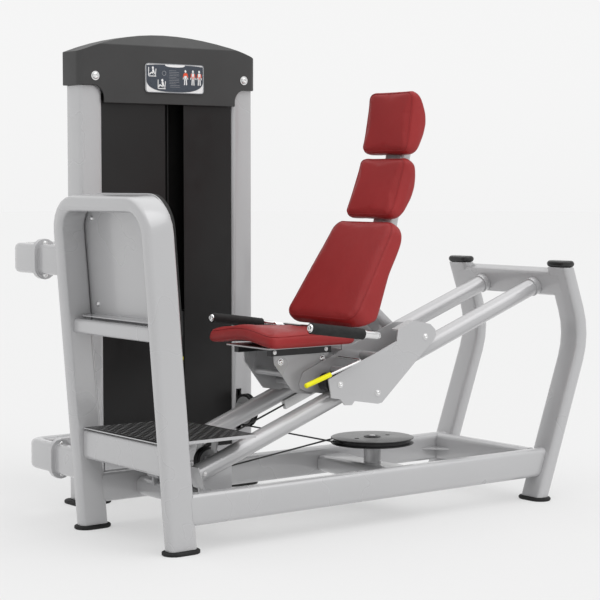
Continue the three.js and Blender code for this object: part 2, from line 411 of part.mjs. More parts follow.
// seat bracket: V-shaped side plates, their rails and the seat board
const vOutline = [[486, 561], [488, 536], [560, 446], [572, 438], [640, 427], [654, 436], [656, 500], [700, 540], [716, 561], [716, 568], [486, 568]];
const bracket = [];
for (const y of [yIn0 + 5.3, 2 * MID_Y - yIn0 - 10.3]) bracket.push(alongY(flip(vOutline), y, y + 5));
for (const y of [MID_Y - 104, MID_Y + 80]) bracket.push(box(461, 712, y, y + 24, 566, 590));
bracket.push(box(440, 742, MID_Y - 120, MID_Y + 120, 589, 594), cylY(11, 540, 500, yIn0 + 7, 2 * MID_Y - yIn0 - 7, 16), cylY(11, 626, 462, yIn0 + 7, 2 * MID_Y - yIn0 - 7, 16));
add("seat_bracket", join(...bracket), SILVER);

// ---------------------------------------------------------------- upholstery
const postCorners = [V(1048, MID_Y, 612.3), V(918, MID_Y, 720), V(1014, MID_Y, 904), V(1083, MID_Y, 1175), V(1131, MID_Y, 1373)];
const post = (grow) => sweep(tube(TUBE_L + grow, TUBE_S - 6 + grow), filleted(postCorners, [70, 300, 300], 3));
const clearPost = solid(post(6));

// pad: side outline [along, depth] from the lower front edge, extruded across and tapered in width
function pad(outline, foot, dir, w0, w1, length) {
  const s = poly(outline), edge = 12;
  const g = new THREE.ExtrudeGeometry(s, { depth: 2 - 0, bevelEnabled: true, bevelThickness: edge, bevelSize: edge, bevelOffset: -edge, bevelSegments: 3 });
  const p = g.attributes.position, n = [dir[1], -dir[0]];
  for (let i = 0; i < p.count; i++) {
    const a = p.getX(i), b = p.getY(i), k = p.getZ(i) - 1, w = w0 + ((w1 - w0) * a) / length;
    const y = Math.sign(k) * (Math.abs(k) <= 1.01 ? w - edge : w - edge + (Math.abs(k) - 1));
    p.setXYZ(i, foot[0] + a * dir[0] + b * n[0], MID_Y + y, foot[1] + a * dir[1] + b * n[1]);
  }
  return g;
}
const unit = (a, b) => { const d = Math.hypot(b[0] - a[0], b[1] - a[1]); return [(b[0] - a[0]) / d, (b[1] - a[1]) / d]; };
// front face of each pad, foot to top, with its half width at either end
const PADS = {
  head: { foot: [1024, 1232], top: [1062, 1458], half: [130, 124] },
  mid: { foot: [949, 1014], top: [1026, 1228], half: [134, 128] },
  low: { foot: [731, 669], top: [948, 1011], half: [202, 168] },
};
const OUTLINES = {
  head: [[2, 10], [10, 2], [110, 0], [219, 2], [227, 10], [227, 34], [136, 81], [100, 81], [2, 46]],
  mid: [[2, 10], [10, 2], [110, 0], [217, 2], [225, 10], [225, 38], [212, 56], [136, 79], [94, 77], [2, 42]],
  low: [[2, 12], [12, 2], [200, 0], [392, 2], [402, 12], [402, 50], [340, 69], [300, 70], [225, 70], [160, 80], [100, 90],
    [60, 96], [14, 60], [2, 46]],
};
for (const [name, { foot, top, half }] of Object.entries(PADS)) {
  const length = Math.hypot(top[0] - foot[0], top[1] - foot[1]);
  add(`pad_${name}`, cut(pad(OUTLINES[name], foot, unit(foot, top), ...half, length), clearPost), RED);
}
// the lowest pad stands off the post on two blocks
const lowDir = unit(PADS.low.foot, PADS.low.top);
const onLow = (a, b) => [PADS.low.foot[0] + a * lowDir[0] + b * lowDir[1], PADS.low.foot[1] + a * lowDir[1] - b * lowDir[0]];
const padBlocks = [[228, 250], [275, 297]].map(([a0, a1]) =>
  alongY(poly([onLow(a0, 70.5), onLow(a0, 112), onLow(a1, 112), onLow(a1, 70.5)]), MID_Y - 30, MID_Y + 30));
add("back_post", join(post(0), ...padBlocks), SILVER);
// seat: outline drawn in X and Z, waterfall front edge
const seatOutline = [[402, 622], [406, 606], [420, 597], [470, 594.6], [740, 594.6], [762, 606], [766, 622], [756, 637], [700, 640], [560, 646], [470, 645], [424, 642], [408, 636]];
add("seat_pad", pad(seatOutline.map(([x, z]) => [x - 402, 660 - z]).reverse().map(([a, b]) => [a, b]), [402, 660], [1, 0], 192, 186, 364), RED);

// handle bar: one bent tube with a sleeve over each end
const gripDir = unit([488, 669], [704, 639]);
const gripZ = (x) => 669 + ((x - 488) * gripDir[1]) / gripDir[0];
const barPath = filleted([V(492, -15, gripZ(492)), V(790, -19, gripZ(790)), V(790, 2 * MID_Y + 19, gripZ(790)), V(492, 2 * MID_Y + 15, gripZ(492))], 45, 5);
const sleeves = [-1, 1].map((s) => sweep(round(18.5, 14), [V(488, s < 0 ? -15 : 2 * MID_Y + 15, gripZ(488)), V(704, s < 0 ? -18 : 2 * MID_Y + 18, gripZ(704))]));
add("handle_bar", join(sweep(round(12.7, 10), barPath), ...sleeves), CHROME);

// release lever: pivot pin across, arm and grip outside the side plate
const leverPath = filleted([V(745, yIn0 - 0.4, 547), V(745, 36, 547), V(508, 36, 477)], 16, 5);
const leverGrip = sweep(round(8.5, 12), [V(612, 36, 547 - 133 * (70 / 237)), V(506, 36, 547 - 239 * (70 / 237))]);
add("lever", join(sweep(round(4.6, 10), leverPath), leverGrip), YELLOW);

// ---------------------------------------------------------------- feet
const footPad = (w, d, x, y) => alongZ(oval(w, d), 0, FOOT_H, 3).translate(x, y, 0);
add("foot_front_near", footPad(128, 78, legX(6), NEAR), RUBBER);
add("foot_front_far", footPad(128, 78, legX(6), FAR), RUBBER);
add("foot_rear_near", footPad(80, 128, UPRIGHT_FOOT_X + upDir * 12, NEAR), RUBBER);
add("foot_rear_far", footPad(80, 128, UPRIGHT_FOOT_X + upDir * 12, FAR), RUBBER);
add("foot_tower_left", alongZ(rounded(150, 130, 40, 5), 0, FOOT_H, 3).translate(TX0 + CW / 2, footY, 0), RUBBER);
add("foot_tower_right", alongZ(rounded(150, 130, 40, 5), 0, FOOT_H, 3).translate(TX1 - CW / 2, footY, 0), RUBBER);

export default root;
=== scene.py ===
"""Looks, light and camera for a seated leg press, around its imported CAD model.
Metres, +Z up, +X from the foot plate to the rear uprights, +Y towards the weight tower."""

import json
import math

import bmesh
import bpy
from mathutils import Matrix, Vector
from mathutils.bvhtree import BVHTree

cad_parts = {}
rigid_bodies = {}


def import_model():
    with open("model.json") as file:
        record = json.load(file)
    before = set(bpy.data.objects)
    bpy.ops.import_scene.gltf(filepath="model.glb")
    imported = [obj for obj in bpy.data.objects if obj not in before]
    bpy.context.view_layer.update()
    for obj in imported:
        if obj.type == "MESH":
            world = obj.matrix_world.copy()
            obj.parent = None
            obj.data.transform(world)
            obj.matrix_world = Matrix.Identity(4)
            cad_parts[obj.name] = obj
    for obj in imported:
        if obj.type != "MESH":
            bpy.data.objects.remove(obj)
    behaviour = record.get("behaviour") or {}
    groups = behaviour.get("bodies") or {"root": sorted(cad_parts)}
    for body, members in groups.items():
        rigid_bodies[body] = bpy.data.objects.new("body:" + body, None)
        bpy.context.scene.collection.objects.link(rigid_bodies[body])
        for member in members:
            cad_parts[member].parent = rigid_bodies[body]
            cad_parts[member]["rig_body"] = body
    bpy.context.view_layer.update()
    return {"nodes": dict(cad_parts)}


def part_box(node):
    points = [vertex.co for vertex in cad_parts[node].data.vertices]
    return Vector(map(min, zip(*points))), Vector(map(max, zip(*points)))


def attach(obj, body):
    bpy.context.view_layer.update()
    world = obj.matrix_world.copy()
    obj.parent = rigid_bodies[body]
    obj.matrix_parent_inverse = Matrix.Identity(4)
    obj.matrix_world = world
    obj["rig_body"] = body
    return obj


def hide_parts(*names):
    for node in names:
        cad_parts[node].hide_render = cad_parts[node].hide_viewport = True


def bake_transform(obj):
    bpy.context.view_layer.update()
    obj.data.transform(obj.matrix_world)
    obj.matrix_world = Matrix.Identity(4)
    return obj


for leftover in list(bpy.data.objects):
    bpy.data.objects.remove(leftover)
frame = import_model()
NODES = frame["nodes"]

# Stations are counted in millimetres from the near front leg, as on the CAD side.
STATION_ZERO = Vector((0.8005, 0.4615, 0.0))
MID_Y = 262.0  # mid-plane of the seat frame
SLOPE = math.radians(20)  # slide tubes
TUBE_SIDES = 16


def st(x, y, z):
    return Vector((x, y, z)) * 0.001 - STATION_ZERO


SEAT_MID = st(0, MID_Y, 0).y  # the same mid-plane in metres


# ------------------------------------------------------------------ materials
class Look:
    """One procedural material: a Principled shader and helpers that wire patterns to it."""

    def __init__(self, name, colour, rough, metal=0.0, specular=0.5, coat=0.0, coat_rough=0.1):
        self.material = bpy.data.materials.new(name)
        self.material.use_nodes = True
        self.tree = self.material.node_tree
        self.shader = self.tree.nodes["Principled BSDF"]
        self.set(self.shader, {"Base Color": (*colour, 1), "Roughness": rough, "Metallic": metal,
                               "Specular IOR Level": specular, "Coat Weight": coat,
                               "Coat Roughness": coat_rough})
        self.material.diffuse_color = (*colour, 1)
        self.place = self.node("ShaderNodeTexCoord").outputs["Object"]
        self.heights = []

    def set(self, node, values):
        for key, value in values.items():
            if isinstance(value, bpy.types.NodeSocket):
                self.tree.links.new(value, node.inputs[key])
            else:
                node.inputs[key].default_value = value

    def node(self, kind, values=None, **props):
        n = self.tree.nodes.new(kind)
        for key, value in props.items():
            setattr(n, key, value)
        self.set(n, values or {})
        return n

    def noise(self, scale, detail=3.0, rough=0.5, vector=None):
        values = {"Vector": vector or self.place, "Scale": scale, "Detail": detail, "Roughness": rough}
        return self.node("ShaderNodeTexNoise", values).outputs["Fac"]

    def stretched(self, factors):
        n = self.node("ShaderNodeVectorMath", {0: self.place, 1: factors}, operation="MULTIPLY")
        return n.outputs["Vector"]

    def math(self, operation, a, b=0.0):
        return self.node("ShaderNodeMath", {0: a, 1: b}, operation=operation).outputs[0]

    def span(self, value, low, high, out_low, out_high):
        values = {"Value": value, "From Min": low, "From Max": high, "To Min": out_low, "To Max": out_high}
        return self.node("ShaderNodeMapRange", values).outputs["Result"]

    def mix(self, factor, a, b):
        n = self.node("ShaderNodeMix", data_type="RGBA")
        for index, value in ((0, factor), (6, a), (7, b)):
            if isinstance(value, bpy.types.NodeSocket):
                self.tree.links.new(value, n.inputs[index])
            else:
                n.inputs[index].default_value = value if index == 0 else (*value, 1)
        return n.outputs[2]

    def patches(self, scale, detail, dark, light):
        """Two tones in soft cloudy patches."""
        return self.mix(self.span(self.noise(scale, detail), 0.3, 0.7, 0, 1), dark, light)

    def colour(self, socket):
        self.tree.links.new(socket, self.shader.inputs["Base Color"])

    def roughness(self, socket):
        self.tree.links.new(socket, self.shader.inputs["Roughness"])

    def bump(self, height, depth, strength=1.0):
        values = {"Height": height, "Distance": depth, "Strength": strength}
        if self.heights:
            values["Normal"] = self.heights[-1]
        self.heights.append(self.node("ShaderNodeBump", values).outputs["Normal"])
        self.tree.links.new(self.heights[-1], self.shader.inputs["Normal"])


def shade(tone, factor):
    return tuple(c * factor for c in tone)


def paint_look(name, tone, metal=0.25):
    """Sprayed silver-grey enamel under a clear coat, with a faint orange peel."""
    k = Look(name, (tone, tone, tone * 1.015), 0.30, metal=metal, coat=0.65, coat_rough=0.05)
    broad = k.noise(2.6, 2)
    k.colour(k.mix(broad, (tone * 0.95, tone * 0.95, tone * 0.965), (tone * 1.05, tone * 1.05, tone * 1.065)))
    k.roughness(k.span(k.noise(4, 2), 0.2, 0.8, 0.24, 0.34))
    k.bump(k.noise(70, 1), 0.0002, 0.03)
    return k.material


def plastic_look(name, tone, rough, grain=900, depth=0.0003):
    """Moulded plastic with a fine spark-eroded grain and slightly shiny wear."""
    k = Look(name, tone, rough, specular=0.35)
    k.colour(k.patches(3.2, 3, shade(tone, 0.9), shade(tone, 1.14)))
    k.roughness(k.span(k.noise(14, 4), 0.3, 0.7, rough - 0.06, rough + 0.06))
    k.bump(k.noise(grain, 2, 0.6), depth, 0.35)
    return k.material


def rubber_look(name, tone):
    """Black rubber: dull, speckled, a little dusty on broad patches."""
    k = Look(name, tone, 0.72, specular=0.35)
    k.colour(k.mix(k.span(k.noise(24, 5, 0.65), 0.45, 0.8, 0, 0.6), tone, shade(tone, 2.1)))
    k.roughness(k.span(k.noise(60, 3), 0.3, 0.7, 0.62, 0.8))
    k.bump(k.noise(650, 3, 0.6), 0.0005, 0.35)
    return k.material


def leather_look(name, tone):
    """Vinyl upholstery: pebbled grain, soft sheen, and painted shade that darkens the creases of the grain.
    """
    k = Look(name, tone, 0.46, specular=0.30)
    pebbles = k.node("ShaderNodeTexVoronoi", {"Vector": k.place, "Scale": 640.0, "Randomness": 1.0},
                     feature="DISTANCE_TO_EDGE").outputs["Distance"]
    grain_crease_shade = k.span(pebbles, 0.0, 0.18, 1, 0)
    broad = k.patches(5, 3, shade(tone, 0.93), shade(tone, 1.07))
    # painted shade: the colour is darkened in the creases of the grain
    k.colour(k.mix(k.math("MULTIPLY", grain_crease_shade, 0.22), broad, shade(tone, 0.6)))
    k.roughness(k.span(k.noise(30, 4), 0.3, 0.7, 0.41, 0.53))
    k.bump(k.span(pebbles, 0.0, 0.25, 0, 1), 0.00025, 0.30)
    k.bump(k.noise(38, 3, 0.55), 0.0016, 0.10)
    return k.material


def metal_look(name, tone, rough, scratch=(1, 1, 1), depth=0.00006):
    """Bright metal with fine directional scratches."""
    k = Look(name, (tone, tone, tone * 1.01), rough, metal=1.0)
    lines = k.noise(380, 4, 0.7, k.stretched(scratch))
    k.colour(k.patches(18, 3, (tone * 0.92,) * 3, (min(tone * 1.05, 1),) * 3))
    k.roughness(k.span(lines, 0.25, 0.75, rough * 0.75, rough * 1.35))
    k.bump(lines, depth, 0.5)
    return k.material


def turned_look(name, tone, rough, centre):
    """Lathe-turned steel: concentric tool marks about a vertical axis."""
    k = Look(name, (tone,) * 3, rough, metal=0.85)
    away = k.node("ShaderNodeVectorMath", {0: k.place, 1: (centre.x, centre.y, 0)}, operation="SUBTRACT")
    flat = k.node("ShaderNodeVectorMath", {0: away.outputs["Vector"], 1: (1, 1, 0)}, operation="MULTIPLY")
    radius = k.node("ShaderNodeVectorMath", {0: flat.outputs["Vector"]}, operation="LENGTH").outputs["Value"]
    rings = k.math("SINE", k.math("MULTIPLY", radius, 4200.0))
    k.colour(k.patches(26, 4, (tone * 0.85,) * 3, (tone * 1.1,) * 3))
    k.roughness(k.span(rings, -1, 1, rough * 0.85, rough * 1.2))
    k.bump(rings, 0.00006, 0.6)
    return k.material


PAINT = paint_look("silver_enamel", 0.475)
# the same silver enamel made darker: painted shade for the seat bracket under the seat
PAINT_SHADE = paint_look("silver_enamel_inner", 0.40)
COVER = plastic_look("cover_plastic", (0.043, 0.043, 0.043), 0.44)
COVER_REAR = plastic_look("cover_rear_shell", (0.30, 0.30, 0.31), 0.42)
SHROUD = plastic_look("shroud_sheet", (0.0085, 0.008, 0.008), 0.36, grain=500, depth=0.0002)
CAP = plastic_look("end_cap", (0.022, 0.022, 0.022), 0.20)
RAIL = plastic_look("rail_black", (0.016, 0.016, 0.017), 0.34)
NYLON = plastic_look("wheel_nylon", (0.020, 0.020, 0.021), 0.40)
WHEEL_FACE = plastic_look("wheel_face", (0.28, 0.28, 0.285), 0.42)
RUBBER = rubber_look("black_rubber", (0.012, 0.012, 0.012))
MAT = rubber_look("foot_mat_rubber", (0.016, 0.016, 0.016))
LEATHER = leather_look("red_vinyl", (0.305, 0.0205, 0.0210))
PIPING = leather_look("red_vinyl_welt", (0.290, 0.0200, 0.0210))
CHROME = metal_look("bright_chrome", 0.80, 0.10, depth=0.00002)
STEEL = metal_look("ground_steel", 0.56, 0.30, scratch=(1, 30, 30))
TREAD = metal_look("tread_steel", 0.05, 0.40)
TREAD_TOP = metal_look("tread_worn_tips", 0.15, 0.34)
IRON = plastic_look("stack_enamel", (0.028, 0.028, 0.029), 0.42, grain=320, depth=0.0006)
YELLOW = plastic_look("yellow_grip", (0.83, 0.78, 0.0), 0.38)
SLATE = plastic_look("placard_slate", (0.050, 0.060, 0.078), 0.30)
PALE = plastic_look("placard_pale", (0.30, 0.31, 0.33), 0.35)
WHITE = plastic_look("placard_white", (0.80, 0.80, 0.80), 0.35)
SIGNAL = plastic_look("placard_red", (0.75, 0.09, 0.035), 0.35)
CABLE = plastic_look("cable_jacket", (0.018, 0.018, 0.018), 0.34)
DISC = turned_look("turned_disc", 0.20, 0.34, st(980, MID_Y, 0))


# ------------------------------------------------------------------ mesh tools
def piece(name, mesh_or_bm, materials, body, replaces=(), smooth=40):
    """An object from a bmesh, riding on a body; edges sharper than smooth degrees stay crisp."""
    if isinstance(mesh_or_bm, bmesh.types.BMesh):
        mesh = bpy.data.meshes.new(name)
        bmesh.ops.recalc_face_normals(mesh_or_bm, faces=mesh_or_bm.faces)
        mesh_or_bm.to_mesh(mesh)
        mesh_or_bm.free()
    else:
        mesh = mesh_or_bm
    for material in materials if isinstance(materials, (list, tuple)) else [materials]:
        mesh.materials.append(material)
    mesh.shade_smooth()
    mesh.set_sharp_from_angle(angle=math.radians(smooth))
    obj = bpy.data.objects.new(name, mesh)
    bpy.context.scene.collection.objects.link(obj)
    if body:
        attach(obj, body)
    if replaces:
        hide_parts(*replaces)
    return obj


def welded(node):
    """The CAD node's surface as a bmesh with shared vertices and whole flat faces."""
    source = NODES[node].data
    mesh = bpy.data.meshes.new(node + "_weld")
    mesh.from_pydata([v.co[:] for v in source.vertices], [], [p.vertices[:] for p in source.polygons])
    bm = bmesh.new()
    bm.from_mesh(mesh)
    bpy.data.meshes.remove(mesh)
    bmesh.ops.remove_doubles(bm, verts=bm.verts, dist=2e-5)
    bmesh.ops.dissolve_limit(bm, angle_limit=math.radians(1.2), verts=bm.verts, edges=bm.edges)
    return bm


def skin(node, material, edge=0.0015, corner=34, segments=2):
    """A piece over a CAD node with its creases rounded off."""
    body = NODES[node]["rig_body"]
    obj = piece(node + "_skin", welded(node), material, body, [node], smooth=corner)
    if edge:
        bevel = obj.modifiers.new("edges", "BEVEL")
        bevel.width, bevel.segments, bevel.limit_method = edge, segments, "ANGLE"
        bevel.angle_limit = math.radians(corner)
        bevel.harden_normals = True
        bevel.use_clamp_overlap = True
    return obj


def loft(bm, rings):
    """Quads between each ring and the next."""
    for a, b in zip(rings, rings[1:]):
        for j in range(len(a)):
            k = (j + 1) % len(a)
            bm.faces.new((a[j], a[k], b[k], b[j]))


def tube(bm, points, radius, sides=TUBE_SIDES, caps=True):
    """A round tube along points, turned as little as possible; radius may be one per point."""
    points = [Vector(p) for p in points]
    radii = radius if isinstance(radius, (list, tuple)) else [radius] * len(points)
    rings, up = [], None
    for i, p in enumerate(points):
        ahead = (points[min(i + 1, len(points) - 1)] - points[max(i - 1, 0)]).normalized()
        if up is None:
            up = ahead.orthogonal().normalized()
        up = (up - ahead * up.dot(ahead)).normalized()
        side = ahead.cross(up)
        rings.append([bm.verts.new(p + (up * math.cos(t) + side * math.sin(t)) * radii[i])
                      for t in (2 * math.pi * j / sides for j in range(sides))])
    loft(bm, rings)
    if caps:
        bm.faces.new(rings[0][::-1])
        bm.faces.new(rings[-1])
    return rings


def lathe(bm, profile, centre, axis, sides=32, hexed=0):
    """A body of revolution: profile is [(radius, height)] along axis; the first hexed rings are six-sided."""
    axis = Vector(axis).normalized()
    right = axis.orthogonal().normalized()
    ahead = axis.cross(right)
    rings = []
    for i, (r, h) in enumerate(profile):
        if r < 1e-7:
            rings.append([bm.verts.new(centre + axis * h)])
            continue
        ring = []
        for j in range(sides):
            t = 2 * math.pi * j / sides
            k = r * math.cos(math.pi / 6) / math.cos((t % (math.pi / 3)) - math.pi / 6) if i < hexed else r
            ring.append(bm.verts.new(centre + axis * h + (right * math.cos(t) + ahead * math.sin(t)) * k))
        rings.append(ring)
    for a, b in zip(rings, rings[1:]):
        for j in range(sides):
            k = (j + 1) % sides
            if len(a) == 1 and len(b) > 1:
                bm.faces.new((a[0], b[j], b[k]))
            elif len(b) == 1 and len(a) > 1:
                bm.faces.new((a[j], a[k], b[0]))
            elif len(a) > 1:
                bm.faces.new((a[j], a[k], b[k], b[j]))
    for ring in (rings[0], rings[-1]):
        if len(ring) > 1:
            bm.faces.new(ring)


def arc_path(corners, radii, steps=7):
    """Straight runs joined by arcs."""
    out = [corners[0]]
    for p, before, after, r in zip(corners[1:], corners, corners[2:], radii):
        a, b = (before - p).normalized(), (after - p).normalized()
        half = a.angle(b) / 2
        centre = p + (a + b).normalized() * (r / math.sin(half))
        start, end = p + a * (r / math.tan(half)) - centre, p + b * (r / math.tan(half)) - centre
        turn = start.angle(end)
        for i in range(steps + 1):
            t = i / steps
            leaving, arriving = math.sin((1 - t) * turn) / math.sin(turn), math.sin(t * turn) / math.sin(turn)
            out.append(centre + start * leaving + end * arriving)
    return out + [corners[-1]]


def plate(bm, outline, depth, to_place, crown=0.0):
    """A flat plate from a 2-D outline, with a small chamfer, placed by a matrix that has +Z as its face."""
    inset = min(depth * 0.4, 0.0008)
    centre = sum((Vector(p) for p in outline), Vector((0, 0))) / len(outline)
    rings = []
    for z, shrink in ((0, 0), (depth - inset, 0), (depth + crown, inset)):
        ring = []
        for p in outline:
            p = Vector(p)
            q = p - (p - centre).normalized() * shrink
            ring.append(bm.verts.new(to_place @ Vector((q.x, q.y, z))))
        rings.append(ring)
    loft(bm, rings)
    bm.faces.new(rings[0][::-1])
    bm.faces.new(rings[-1])


def round_rect(w, h, r, steps=5):
    """The outline of a w by h rectangle about the origin, with corners of radius r."""
    out = []
    for sx, sy, start in ((1, 1, 0), (-1, 1, 90), (-1, -1, 180), (1, -1, 270)):
        for i in range(steps + 1):
            t = math.radians(start + 90 * i / steps)
            out.append((sx * (w / 2 - r) + r * math.cos(t), sy * (h / 2 - r) + r * math.sin(t)))
    return out


def facing(origin, normal, up=(0, 0, 1)):
    """A frame at origin whose +Z is normal and whose +Y leans towards up."""
    z = Vector(normal).normalized()
    x = Vector(up).cross(z).normalized()
    y = z.cross(x)
    return Matrix.Translation(origin) @ Matrix((x, y, z)).transposed().to_4x4()


def screw_heads(name, body, heads):
    """Button-head socket screws, each (place, direction, head radius), as one piece."""
    bm = bmesh.new()
    for place, direction, r in heads:
        h = r * 0.55
        washer = r * 0.16
        profile = [(0, h * 0.35 + washer), (r * 0.42, h * 0.35 + washer), (r * 0.42, h * 0.96 + washer),
                   (r * 0.55, h + washer), (r * 0.78, h * 0.86 + washer), (r * 0.94, h * 0.52 + washer),
                   (r, h * 0.16 + washer), (r, washer), (r * 1.28, washer), (r * 1.32, washer * 0.6),
                   (r * 1.32, -0.0004)]
        lathe(bm, profile, place, direction, 24, hexed=3)
    piece(name, bm, CHROME, body, smooth=50)


# ------------------------------------------------------------------ frame and guards
for node in ("foot_frame", "crossbar_mid", "crossbar_low", "upright_near", "upright_far", "crossbar_top",
             "rail_near", "rail_far", "crossbar_rear", "link_crossbar", "column_left", "column_right",
             "tower_base", "arm_upper", "arm_lower", "cam_stand", "back_post"):
    skin(node, PAINT, edge=0.0016)
for node in ("slide_near", "slide_far"):
    skin(node, PAINT, edge=0.002, corner=40)
skin("foot_plate", PAINT, edge=0.0012)
skin("carriage_frame", PAINT, edge=0.0014)
# the seat bracket carries the darker enamel as painted shade; only its top board keeps the full silver paint
bracket = skin("seat_bracket", PAINT_SHADE, edge=0.0012)
for material in (RAIL, PAINT):
    bracket.data.materials.append(material)
BOARD_Z, RAILS_Z, RAILS_Y = 589.4, 565, 0.079  # where the bright seat board and its black slide rails begin
for face in bracket.data.polygons:
    height = face.center.z * 1000
    if height > BOARD_Z:
        face.material_index = 2
    elif height > RAILS_Z and abs(face.center.y - SEAT_MID) > RAILS_Y:
        face.material_index = 1
skin("foot_mat", MAT, edge=0.004, segments=3)
for node in ("cap_near", "cap_far"):
    skin(node, CAP, edge=0.005, segments=3, corner=30)
for node in ("foot_front_near", "foot_front_far", "foot_rear_near", "foot_rear_far", "foot_tower_left",
             "foot_tower_right"):
    skin(node, RUBBER, edge=0.004, segments=3, corner=50)
skin("head_cover", COVER, edge=0.004, segments=3, corner=30)
for node in ("shroud_left", "shroud_right", "shroud_lower"):
    skin(node, SHROUD, edge=0.0012)
rear = skin("shroud_rear", SHROUD, edge=0.0008)
rear.data.materials.append(COVER_REAR)
for face in rear.data.polygons:  # black towards the stack, grey outside
    face.material_index = int(face.normal.y > -0.5)
skin("step_plate", TREAD, edge=0.0008)
skin("tower_top", STEEL, edge=0.0006)
skin("drive_bar", STEEL, edge=0.0008)
for node in ("stack_resting", "stack_lifted"):
    skin(node, IRON, edge=0.0006, corner=60)
skin("selector_pin", YELLOW, edge=0.0008, corner=50)
skin("cam_disc", DISC, edge=0.001, corner=40)
for node in ("roller_front", "roller_rear", "roller_low"):
    skin(node, NYLON, edge=0.0006, corner=40)
for node in ("top_pulley_left", "top_pulley_right", "front_pulley", "transfer_pulley"):
    skin(node, NYLON, edge=0.0008, corner=40)

lip = bmesh.new()  # folded lip that closes the joint between rear panel and cover
rear_low, rear_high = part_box("shroud_rear")
lip_place = Matrix.Translation(((rear_low.x + rear_high.x) / 2, rear_low.y - 0.0028, rear_high.z))
lip_size = Matrix.Diagonal((rear_high.x - rear_low.x - 0.002, 0.0012, 0.030, 1))
bmesh.ops.create_cube(lip, size=1.0, matrix=lip_place @ lip_size)
bmesh.ops.bevel(lip, geom=lip.edges[:], offset=0.0003, segments=1)
piece("shroud_rear_lip", lip, SHROUD, "frame")

# the step plate's sides get the silver enamel as a painted highlight along its thin edge; the disc's rim and
# underside are nylon
for obj, edge_look, is_edge in (
        (bpy.data.objects["step_plate_skin"], PAINT, lambda f: abs(f.normal.z) < 0.5),
        (bpy.data.objects["cam_disc_skin"], NYLON, lambda f: abs(f.normal.z) < 0.9 or f.center.z < 0.240)):
    obj.data.materials.append(edge_look)
    for face in obj.data.polygons:
        face.material_index = int(is_edge(face))

hub = bmesh.new()
disc_low, disc_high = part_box("cam_disc")
hub_seat = Vector(((disc_low.x + disc_high.x) / 2, (disc_low.y + disc_high.y) / 2, disc_high.z - 0.0002))
lathe(hub, [(0.0135, 0.0), (0.0135, 0.0040), (0.0200, 0.0044), (0.0215, 0.0030), (0.0275, 0.0030),
            (0.0300, 0.0018), (0.0300, 0.0)], hub_seat, (0, 0, 1), 40)
piece("cam_disc_hub", hub, NYLON, "cam", smooth=40)


# ------------------------------------------------------------------ wheel faces
def wheel_face(name, body, centre, axis, radius, width):
    """A pale dished hub disc with lightening ribs on each side of a pulley, and its axle nut."""
    bm = bmesh.new()
    for sign in (1, -1):
        direction = Vector(axis) * sign
        face = centre + direction * (width / 2)
        dish = ((0.16, 0.0006), (0.30, 0.0020), (0.36, 0.0009), (0.70, 0.0006), (0.76, 0.0018),
                (0.82, 0.0016), (0.83, -0.0002), (0.16, -0.0002))
        nut = ((0, 0.0062), (0.10, 0.0062), (0.13, 0.0052), (0.13, -0.0002))
        lathe(bm, [(radius * share, h) for share, h in dish], face, direction, 40)
        lathe(bm, [(radius * share, h) for share, h in nut], face, direction, 6)
    piece(name, bm, WHEEL_FACE, body, smooth=35)


def middle(node):
    """The centre and the size of a CAD node's box."""
    low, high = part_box(node)
    return (low + high) / 2, high - low


for node, body, axis in (("transfer_pulley", "transfer_wheel", (1, 0, 0)),
                         ("front_pulley", "front_wheel", (0, 1, 0)),
                         ("top_pulley_left", "top_wheel_left", (0, 1, 0)),
                         ("top_pulley_right", "top_wheel_right", (0, 1, 0))):
    centre, size = middle(node)
    wheel_face(node + "_face", body, centre, axis, max(size) / 2, min(size))


# ------------------------------------------------------------------ tread plate
def tread_lozenges():
    """Raised lozenges in alternating diagonals over the step plate."""
    low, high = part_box("step_plate")
    pitch, long, wide, tall = 0.0205, 0.0080, 0.0021, 0.0013
    bm = bmesh.new()
    columns = int((high.x - low.x - 0.012) / pitch)
    rows = int((high.y - low.y - 0.012) / pitch)
    x0 = (low.x + high.x) / 2 - (columns - 1) * pitch / 2
    y0 = (low.y + high.y) / 2 - (rows - 1) * pitch / 2
    for i in range(columns):
        for j in range(rows):
            turn = math.radians(45 if (i + j) % 2 else -45)
            c, s = math.cos(turn), math.sin(turn)
            rings = []
            for k, z in ((1.0, -0.0002), (0.62, tall)):
                ring = []
                for a in range(8):
                    t = 2 * math.pi * a / 8
                    u, v = long * k * math.cos(t), wide * k * math.sin(t)
                    x, y = x0 + i * pitch + u * c - v * s, y0 + j * pitch + u * s + v * c
                    ring.append(bm.verts.new((x, y, high.z + z)))
                rings.append(ring)
            for a in range(8):
                b = (a + 1) % 8
                bm.faces.new((rings[0][a], rings[0][b], rings[1][b], rings[1][a]))
            bm.faces.new(rings[1])
            bm.faces.new(rings[0][::-1])
    piece("step_plate_lozenges", bm, TREAD_TOP, "frame", smooth=60)


tread_lozenges()


# ------------------------------------------------------------------ placard
def disc_outline(cx, cy, rx, ry, count=14):
    turns = [2 * math.pi * i / count for i in range(count)]
    return [(cx + rx * math.cos(t), cy + ry * math.sin(t)) for t in turns]


